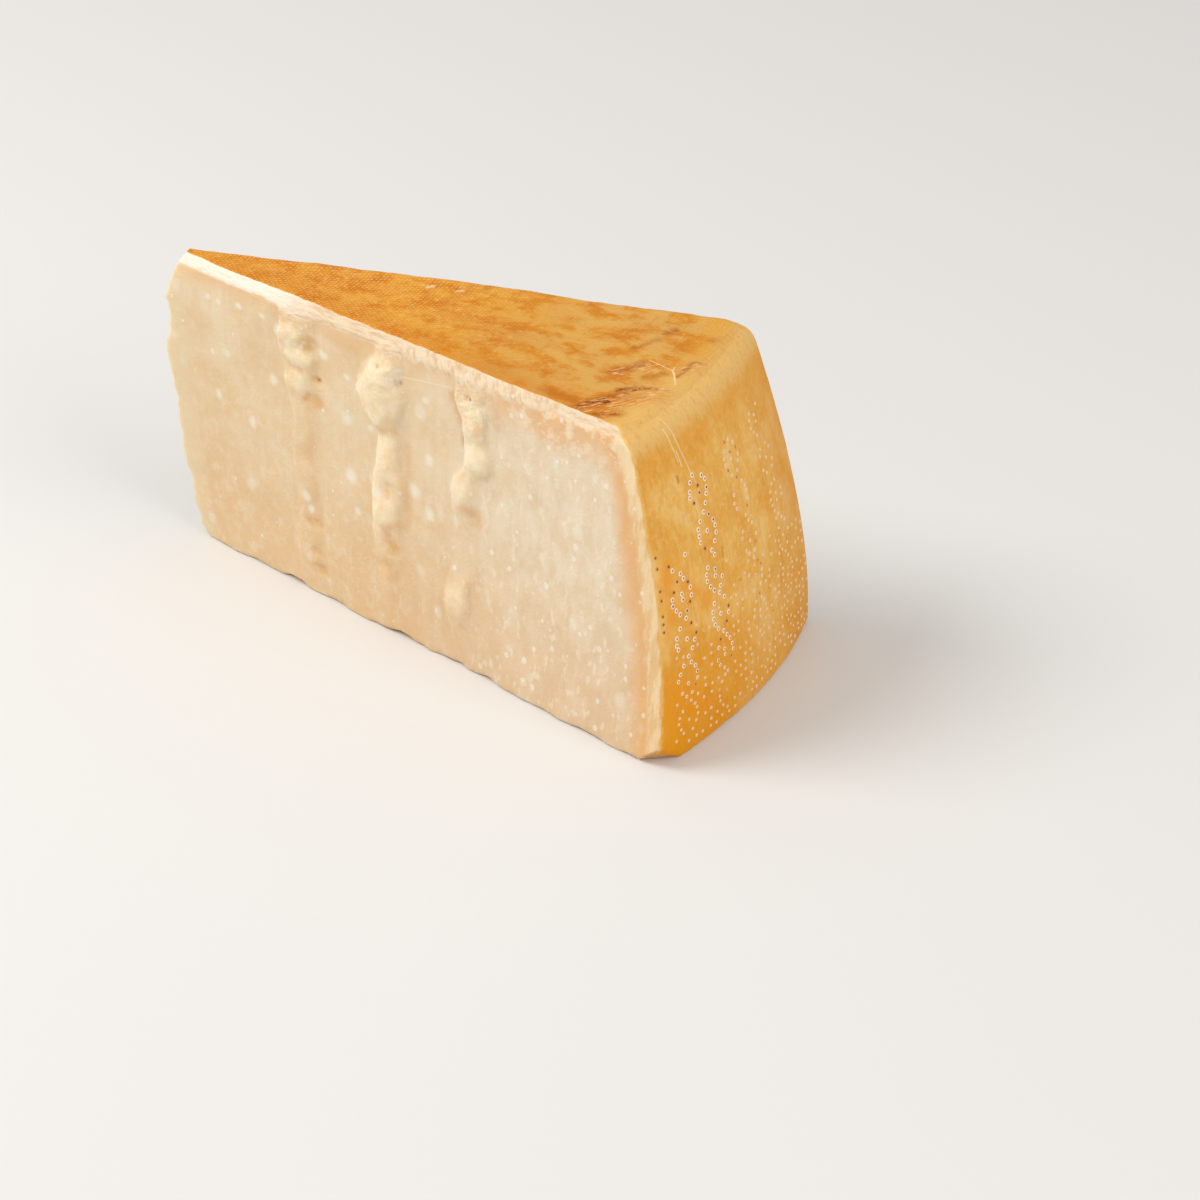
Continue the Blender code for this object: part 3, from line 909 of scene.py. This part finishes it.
def stroke(finish, vector, start, end, half_width):
    """How near the place is to a straight mark: 1 on the line and 0 at its half width."""
    start = Vector(start)
    line = Vector(end) - start
    offset = finish.add("ShaderNodeVectorMath", {0: vector, 1: start}, operation="SUBTRACT")
    reach = finish.add("ShaderNodeVectorMath", {0: offset, 1: line}, "Value", operation="DOT_PRODUCT")
    inputs = {0: reach, 1: line.length_squared}
    share = finish.add("ShaderNodeMath", inputs, operation="DIVIDE", use_clamp=True)
    along = finish.add("ShaderNodeVectorMath", {0: line, "Scale": share}, operation="SCALE")
    apart = finish.add("ShaderNodeVectorMath", {0: offset, 1: along}, "Value", operation="DISTANCE")
    return finish.span(apart, half_width, 0.0)


def strongest(finish, masks):
    """The strongest of several masks."""
    total = masks[0]
    for mask in masks[1:]:
        total = finish.maths("MAXIMUM", total, mask)
    return total


def marks(finish, vector, strokes, before=(), after=()):
    """Straight marks, each end with the numbers that come before and after its own two."""
    masks = []
    for start, end, half_width, strength in strokes:
        mark = stroke(finish, vector, (*before, *start, *after), (*before, *end, *after), half_width)
        masks.append(finish.times(mark, strength))
    return strongest(finish, masks)


def oval(finish, sheet, shape):
    """A soft oval on the front cut: 1 inside and 0 outside."""
    middle, level, half_width, half_height = shape
    offset = finish.add("ShaderNodeVectorMath", {0: sheet, 1: (middle, level, 0.0)}, operation="SUBTRACT")
    scale = (1.0 / half_width, 1.0 / half_height, 1.0 / half_width)
    inputs = {0: finish.stretched(offset, scale)}
    out = finish.add("ShaderNodeVectorMath", inputs, "Value", operation="LENGTH")
    return finish.span(out, 1.50, 0.30)


def paste_finish():
    """Straw paste: mottled, streaked by the knife, orange under the rind, with white crystals, a painted
    highlight on the tears and painted shade beside them and in the hollows, crumbs, pores and crack.
    """
    finish = Finish("torn_paste")
    span, times, maths, blend = finish.span, finish.times, finish.maths, finish.blend
    clouds, stretched, warped = finish.clouds, finish.stretched, finish.warped
    parts, bump = finish.parts, finish.bump
    place = finish.note("place")
    along, _, height = parts(place)
    from_heel, from_top, from_nose = parts(finish.note("depths"))
    torn_up, torn_in, broken = parts(finish.note("torn"))
    _, in_strip, in_band = parts(finish.note("margins"))
    sheet = finish.note("sheet")
    spot = finish.add("ShaderNodeTexCoord", {}, "Object")

    mottle = clouds(spot, 0.020, 3.0, 0.55)
    patchy = clouds(stretched(spot, (1.0, 1.0, 0.55)), 0.0085, 3.0, 0.6)
    fine = clouds(spot, 0.0045, 4.0, 0.6)
    streaks = clouds(stretched(place, (1.0, 1.0, 0.05)), 0.0022, 3.0, 0.6)
    toward_heel = times(span(along, 0.10, 0.17), span(from_top, 0.0, 0.02))
    colour = blend(span(mottle, 0.36, 0.64), tint(228, 198, 154), tint(233, 211, 175))
    whitish = times(span(patchy, 0.40, 0.62), span(along, 0.08, 0.17, 0.10, 0.55))
    footward = times(span(height, 0.056, 0.006), span(along, 0.075, 0.125))
    flecks = clouds(stretched(spot, (1.0, 1.0, 0.5)), 0.0024, 2.0, 0.5)
    fleck_share = span(toward_heel, 0.0, 1.0, 0.12, 0.55)
    fleck_share = times(span(flecks, 0.56, 0.70), fleck_share)

    # Tears paler where they stand up: partly the torn paste's own paler colour, partly a painted highlight
    raised_pallor_and_highlight = span(torn_up, 0.0003, 0.0024)
    raised_pallor_and_highlight = times(raised_pallor_and_highlight, span(fine, 0.30, 0.62, 1.0, 0.55))
    ragged = times(span(patchy, 0.48, 0.62), span(torn_up, 0.0002, 0.0010))
    wobbly = warped(sheet, 0.0034, 0.0022)
    # Painted shade down the far sides of the tears and under the knob
    shaded = marks(finish, wobbly, PAINTED_TEAR_SHADOWS, after=ON_FRONT)
    shaded = times(shaded, span(fine, 0.32, 0.58, 0.4, 1.0))
    crumbs = clouds(spot, 0.0022, 4.0, 0.68)
    crumbly = span(height, 0.080, 0.100, 0.15, 1.0)
    crumbly = times(span(torn_up, 0.0001, 0.0010), crumbly)
    # Painted shade in the dips of the crumbs, where the bump below sinks them
    crumb_dip_shade = times(span(crumbs, 0.56, 0.44), times(crumbly, 0.18))
    white = times(span(crumbs, 0.52, 0.64), times(crumbly, 0.60))
    # Painted shade in the torn hollows, darker where they sink deeper
    hollow = times(span(torn_in, 0.00003, 0.0006), span(fine, 0.36, 0.60, 0.15, 1.0))

    wander = maths("MULTIPLY_ADD", mottle, 0.010, -0.005)
    under_rind = maths("ADD", from_heel, wander)
    under_top = maths("ADD", from_top, wander)
    crushed = times(span(along, 0.138, 0.160), span(under_top, 0.017, 0.008))

    flaky = times(span(fine, 0.46, 0.60, 0.0, 0.7), crushed)
    upright = clouds(stretched(place, (1.0, 1.0, 0.28)), 0.0026, 3.0, 0.6)
    rough_edge = maths("MULTIPLY_ADD", upright, 0.0034, -0.0017)
    strip_share = span(maths("ADD", in_strip, rough_edge), -0.0014, 0.0010)
    strip = blend(span(upright, 0.40, 0.62), tint(229, 192, 136), tint(239, 211, 166))
    strip = blend(span(height, 0.076, 0.098, 0.0, 0.6), strip, tint(245, 224, 184))
    strands = clouds(stretched(place, (0.22, 1.0, 2.0)), 0.0018, 3.0, 0.6)
    rolled = {"Vector": place, "Angle": math.radians(-52.0)}
    rolled = finish.add("ShaderNodeVectorRotate", rolled, rotation_type="Y_AXIS")
    creases = clouds(stretched(rolled, (0.6, 1.0, 1.5)), 0.0024, 4.0, 0.66)
    creased = times(span(along, 0.098, 0.110), span(along, 0.176, 0.162))
    fibres = finish.add("ShaderNodeMix", {0: creased, 2: strands, 3: creases})
    frayed_edge = maths("MULTIPLY_ADD", fibres, 0.0040, -0.0020)
    band_share = span(maths("ADD", in_band, frayed_edge), -0.0007, 0.0007)
    band = blend(span(fibres, 0.36, 0.58), tint(221, 189, 148), tint(234, 213, 181))
    smooth_band = times(span(along, 0.070, 0.045), 0.85)
    band = blend(smooth_band, band, tint(248, 237, 220))
    golden = maths("ADD", from_heel, maths("MULTIPLY_ADD", upright, 0.0024, -0.0012))

    large, large_chance = finish.spots(stretched(spot, (1.0, 1.0, 0.75)), 0.0095)
    large_size = span(large_chance, 0.40, 1.0, -0.04, 0.25)
    large_share = span(maths("SUBTRACT", large, large_size), 0.08, -0.12)
    ovals = strongest(finish, [oval(finish, wobbly, shape) for shape in CRYSTAL_OVALS])
    large_share = maths("MAXIMUM", times(large_share, 0.6), ovals)
    small, small_chance = finish.spots(stretched(spot, (1.0, 1.0, 0.8)), 0.0038)
    crowd = span(along, 0.09, 0.17, 0.64, 0.34)
    small_size = times(maths("SUBTRACT", small_chance, crowd), 0.42)
    small_share = span(maths("SUBTRACT", small, small_size), 0.07, -0.07)

    # Painted shade in the crack and the pores
    crack = stroke(finish, wobbly, (0.1311, 0.0880, 0.0), (0.1316, 0.0805, 0.0), 0.00036)
    pores = [oval(finish, sheet, shape) for shape in PORES]
    crack_and_pore_shade = times(strongest(finish, [crack] + pores), span(fine, 0.36, 0.52, 0.25, 0.75))
    scratch = stroke(finish, sheet, (0.1040, 0.0960, 0.0), (0.1250, 0.0990, 0.0), 0.0003)
    colour = finish.coated(colour, (
        (span(patchy, 0.42, 0.64, 0.0, 0.55), (229, 195, 145)),
        (span(height, 0.080, 0.0, 0.0, 0.75), (226, 188, 138)),
        (times(toward_heel, 0.55), (229, 210, 183)),
        (span(fine, 0.46, 0.70, 0.0, 0.50), (234, 217, 188)),
        (whitish, (239, 226, 201)),
        (span(streaks, 0.50, 0.72, 0.0, 0.22), (226, 192, 148)),
        (span(from_nose, 0.012, 0.0, 0.0, 0.5), (236, 221, 182)),
        (times(footward, 0.44), (224, 184, 137)),
        (fleck_share, (241, 230, 208)),
        # paler tears, partly a painted highlight
        (times(raised_pallor_and_highlight, 0.92), (253, 236, 202)),
        (times(ragged, 0.45), (235, 200, 146)),
        # painted shade beside the tears
        (shaded, (216, 156, 90)),
        # painted shade in the crumbs' dips
        (crumb_dip_shade, (229, 188, 130)),
        (white, (253, 243, 220)),
        # painted shade in the hollows
        (times(hollow, 0.66), (220, 168, 102)),
        (span(under_rind, 0.0165, 0.0065, 0.0, 0.85), (231, 177, 112)),
        (span(under_top, 0.012, 0.004, 0.0, 0.55), (232, 189, 136)),
        (times(crushed, 0.60), (231, 182, 126)),
        (flaky, (245, 226, 196)),
        (strip_share, strip),
        (band_share, band),
        (span(golden, 0.0009, 0.0001, 0.0, 0.9), (226, 168, 76)),
        (span(broken, 0.0, 0.0008, 0.0, 0.8), (206, 146, 78)),
        (times(large_share, 0.68), (241, 235, 217)),
        (times(small_share, 0.62), (245, 239, 224)),
        # painted shade in the crack and pores
        (crack_and_pore_shade, (176, 112, 50)),
        (times(scratch, 0.5), (250, 234, 214)),
    ))

    grain = clouds(spot, 0.0011, 4.0, 0.6)
    normal = bump(grain, 0.00022)
    normal = bump(streaks, 0.00012, normal)
    normal = bump(times(crumbs, crumbly), 0.00050, normal)
    crushed_band = times(maths("SUBTRACT", fibres, 0.5), band_share)
    normal = bump(crushed_band, 0.0008, normal)
    normal = bump(small_share, 0.0001, normal)
    dry = span(grain, 0.3, 0.7, 0.42, 0.62)
    return finish.done({
        "Base Color": colour,
        "Normal": normal,
        "Roughness": maths("MULTIPLY_ADD", small_share, -0.18, dry),
        "Subsurface Weight": 0.5,
        "Subsurface Radius": (1.0, 0.55, 0.28),
        "Subsurface Scale": 0.0035,
        "Specular IOR Level": 0.35,
    })


def rind_finish():
    """Oiled rind: amber with a cloth's weave on the top, painted highlights on the weave and rim and a
    painted sheen, golden and mottled on the heel.
    """
    finish = Finish("oiled_rind")
    span, times, maths, blend = finish.span, finish.times, finish.maths, finish.blend
    clouds, stretched, warped = finish.clouds, finish.stretched, finish.warped
    parts, bump = finish.parts, finish.bump
    place = finish.note("place")
    along, across, height = parts(place)
    from_heel, from_top, _ = parts(finish.note("depths"))
    from_cut, _, _ = parts(finish.note("margins"))
    spot = finish.add("ShaderNodeTexCoord", {}, "Object")
    broad = clouds(stretched(spot, (0.7, 1.2, 1.0)), 0.022, 3.0, 0.55)
    patchy = clouds(stretched(spot, (0.75, 1.2, 0.8)), 0.0085, 4.0, 0.65)
    fine = clouds(spot, 0.0020, 4.0, 0.65)

    turned_place = finish.add("ShaderNodeVectorRotate", {"Vector": place, "Angle": math.radians(38.0)})
    across_cloth, along_cloth, _ = parts(warped(turned_place, 0.012, 0.0012))
    warp = maths("SINE", times(across_cloth, 2.0 * math.pi / CLOTH_PITCH))
    weft = maths("SINE", times(along_cloth, 1.2 * math.pi / CLOTH_PITCH))
    weave = times(times(warp, weft), span(fine, 0.30, 0.55))
    hairs = clouds(stretched(turned_place, (1.6, 0.30, 1.0)), 0.0012, 3.0, 0.65)

    top = blend(span(broad, 0.40, 0.60), tint(203, 120, 0), tint(219, 148, 26))
    near_nose = span(along, 0.15, 0.08, 0.10, 1.0)
    blotchy = clouds(stretched(turned_place, (1.2, 0.8, 1.0)), 0.0056, 5.0, 0.70)
    # Paler patches toward the heel: partly the rind's own tone, partly a painted sheen
    pale = times(span(along, 0.09, 0.16), span(patchy, 0.60, 0.42, 0.18, 0.85))
    # The rim between top and heel in a paler tone, lightest toward the front corner: partly the rind's own
    # tone, partly a painted highlight
    rim = blend(span(across, 0.016, -0.014), tint(220, 155, 48), tint(230, 184, 102))
    # Painted highlights on the crests of the cloth's weave, fading away from the nose
    painted_weave_highlights = times(span(weave, 0.10, 0.65), times(near_nose, 0.42))

    wandering = warped(place, 0.0036, 0.0030)
    stained = marks(finish, wandering, TOP_STAINS, after=ON_TOP)
    stain_share = times(stained, span(fine, 0.34, 0.54, 0.25, 1.0))
    tan = marks(finish, wandering, TOP_FRAYED, after=ON_TOP)
    frayed = times(span(tan, 0.05, 0.5), span(hairs, 0.52, 0.60))
    scratched = marks(finish, warped(place, 0.004, 0.0008), TOP_SCRATCHES, after=ON_TOP)
    top = finish.coated(top, (
        (times(near_nose, 0.62), (232, 164, 62)),
        (span(patchy, 0.42, 0.64, 0.0, 0.66), (199, 108, 0)),
        (span(blotchy, 0.48, 0.68, 0.0, 0.42), (190, 98, 0)),
        (span(fine, 0.50, 0.68, 0.0, 0.50), (236, 182, 84)),
        # paler patches, partly a painted sheen
        (pale, (218, 168, 88)),
        (span(from_cut, 0.016, 0.001, 0.0, 0.42), (202, 115, 0)),
        # paler rim, partly a painted highlight
        (span(from_heel, 0.015, 0.006, 0.0, 0.8), rim),
        # painted highlights on the weave
        (painted_weave_highlights, (245, 204, 134)),
        (times(tan, 0.62), (204, 118, 26)),
        (stain_share, (158, 70, 0)),
        (span(stain_share, 0.50, 1.0, 0.0, 0.60), (86, 36, 4)),
        (times(frayed, 0.72), (240, 198, 138)),
        (scratched, (250, 226, 184)),
    ))

    heel = blend(span(broad, 0.38, 0.62), tint(227, 165, 70), tint(235, 186, 98))
    bloom = times(span(broad, 0.52, 0.66), span(patchy, 0.56, 0.42))
    low = times(span(height, 0.060, 0.0), span(across, 0.03, -0.04, 0.35, 1.0))
    belt = times(span(height, 0.086, 0.094), span(height, 0.102, 0.097))
    belt = times(belt, span(patchy, 0.35, 0.60, 0.10, 0.5))
    level_place = stretched(place, (0.0, 1.0, 1.0))
    wavy_place = warped(level_place, 0.0060, 0.0050)
    blotched = marks(finish, wavy_place, HEEL_BLOTCHES, before=ON_HEEL)
    blotched = times(blotched, span(fine, 0.34, 0.58, 0.5, 1.0))
    cloth = clouds(stretched(place, (1.0, 1.6, 0.22)), 0.0022, 3.0, 0.6)
    scratched = marks(finish, level_place, HEEL_SCRATCHES, before=ON_HEEL)
    specked = marks(finish, level_place, HEEL_SPECKS, before=ON_HEEL)
    heel = finish.coated(heel, (
        (span(patchy, 0.44, 0.68, 0.0, 0.65), (229, 157, 58)),
        (span(fine, 0.48, 0.70, 0.0, 0.42), (243, 204, 140)),
        (times(bloom, 0.46), (239, 202, 140)),
        (times(low, 0.92), (228, 148, 0)),
        (span(across, 0.012, 0.042, 0.0, 0.50), (216, 144, 44)),
        (span(from_top, 0.004, 0.013, 0.85, 0.0), (236, 194, 122)),
        (belt, (227, 160, 62)),
        (blotched, (237, 144, 0)),
        (span(cloth, 0.52, 0.66, 0.0, 0.35), (214, 142, 50)),
        (scratched, (252, 228, 184)),
        (specked, (160, 92, 28)),
    ))

    over_rim = span(maths("SUBTRACT", from_heel, from_top), -0.006, 0.012)
    colour = blend(over_rim, heel, top)
    ragged = maths("ADD", from_cut, maths("MULTIPLY_ADD", fine, 0.0030, -0.0015))
    bare = times(span(ragged, 0.0014, 0.0003), span(over_rim, 1.0, 0.5))
    colour = blend(times(bare, 0.65), colour, tint(240, 202, 132))

    normal = bump(fine, 0.0004)
    normal = bump(times(weave, over_rim), 0.00010, normal)
    normal = bump(times(hairs, over_rim), 0.00015, normal)
    return finish.done({
        "Base Color": colour,
        "Normal": normal,
        "Roughness": span(patchy, 0.3, 0.7, 0.38, 0.55),
        "Subsurface Weight": 0.12,
        "Subsurface Radius": (1.0, 0.5, 0.2),
        "Subsurface Scale": 0.002,
        "Specular IOR Level": 0.10,
        "Specular Tint": tint(255, 206, 130),
    })


def pin_finish():
    """Pin dots: a pale pinkish rim round a brown pit, close to the rind's own gold where they are worn."""
    finish = Finish("pin_dots")
    out, strength, chance = finish.parts(finish.note("wear"))
    spot = finish.add("ShaderNodeTexCoord", {}, "Object")
    fine = finish.clouds(spot, 0.0006, 3.0, 0.6)
    gold = finish.blend(finish.span(fine, 0.4, 0.6), tint(226, 168, 84), tint(236, 186, 108))
    rim = finish.blend(finish.span(chance, 0.14, 0.22), tint(222, 150, 78), tint(254, 236, 214))
    rim = finish.blend(finish.span(strength, 0.2, 0.9, 0.35, 1.0), gold, rim)
    pit = finish.blend(finish.span(chance, 0.20, 0.30), tint(112, 60, 20), tint(186, 122, 62))
    pit = finish.blend(finish.span(strength, 0.25, 0.8), rim, pit)
    colour = finish.blend(out, pit, rim)
    return finish.done({"Base Color": colour, "Roughness": 0.5, "Specular IOR Level": 0.25})


def cheese_wedge():
    """The whole skin of the wedge: paste on the cuts, nose and foot, rind on the top and heel."""
    lines = [grid_lines(LINES_ALONG), grid_lines(LINES_ACROSS), grid_lines(LINES_UP)]
    shares, faces, sides = block_skin(lines)
    points, notes = wedge_surface(shares)
    in_rind = (sides == TOP_SIDE) | (sides == HEEL_SIDE)
    materials = [paste_finish(), rind_finish()]
    return mesh_object("cheese_wedge", points, faces.tolist(), materials, in_rind, notes)


def pale_floor():
    """A plain pale floor under the wedge."""
    points = FLOOR_HALF * np.array([[-1.0, -1.0, 0.0], [1.0, -1.0, 0.0], [1.0, 1.0, 0.0], [-1.0, 1.0, 0.0]])
    finish = Finish("pale_floor").done({"Base Color": tint(226, 224, 221), "Roughness": 0.7})
    floor = mesh_object("floor", points, [[0, 1, 2, 3]], [finish])


def aimed(thing, target):
    """Turn a camera or a light so that it looks at the target."""
    direction = Vector(target) - thing.location
    thing.rotation_euler = direction.to_track_quat("-Z", "Y").to_euler()


def around(target, azimuth, elevation, distance):
    """A place seen from the target at this azimuth from -Y toward +X, elevation and distance."""
    azimuth = math.radians(azimuth)
    elevation = math.radians(elevation)
    flat = math.cos(elevation)
    step = Vector((math.sin(azimuth) * flat, -math.cos(azimuth) * flat, math.sin(elevation)))
    return Vector(target) + distance * step


def photo_camera():
    """The photograph's long lens, looking down on the front cut and the heel."""
    data = bpy.data.cameras.new("camera")
    data.sensor_width = 36.0
    data.lens = CAMERA_LENS
    data.clip_start = 0.05
    camera = bpy.data.objects.new("camera", data)
    bpy.context.collection.objects.link(camera)
    camera.location = around(CAMERA_TARGET, *CAMERA_PLACE)
    aimed(camera, CAMERA_TARGET)
    bpy.context.scene.camera = camera


def soft_light(name, azimuth, elevation, distance, size, power):
    """One broad lamp, aimed at the middle of the wedge."""
    data = bpy.data.lights.new(name, "AREA")
    data.shape = "DISK"
    data.size = size
    data.energy = power
    lamp = bpy.data.objects.new(name, data)
    bpy.context.collection.objects.link(lamp)
    lamp.location = around(LAMP_TARGET, azimuth, elevation, distance)
    aimed(lamp, LAMP_TARGET)


def studio():
    """Soft light from the left and above, a weaker fill from the right and pale surroundings."""
    for lamp in LAMPS:
        soft_light(*lamp)
    world = bpy.data.worlds.new("studio")
    world.use_nodes = True
    world.node_tree.nodes["Background"].inputs["Color"].default_value = (1.0, 0.985, 0.965, 1.0)
    world.node_tree.nodes["Background"].inputs["Strength"].default_value = 0.55
    scene = bpy.context.scene
    scene.world = world
    scene.view_settings.view_transform = "Standard"


def main():
    photo_camera()
    studio()
    pale_floor()
    wedge = cheese_wedge()
    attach(wedge, "root")
    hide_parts("parmesan_wedge")
    pins = heel_pin_dots()
    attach(pins, "root")
    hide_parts("parmesan_wedge")


main()
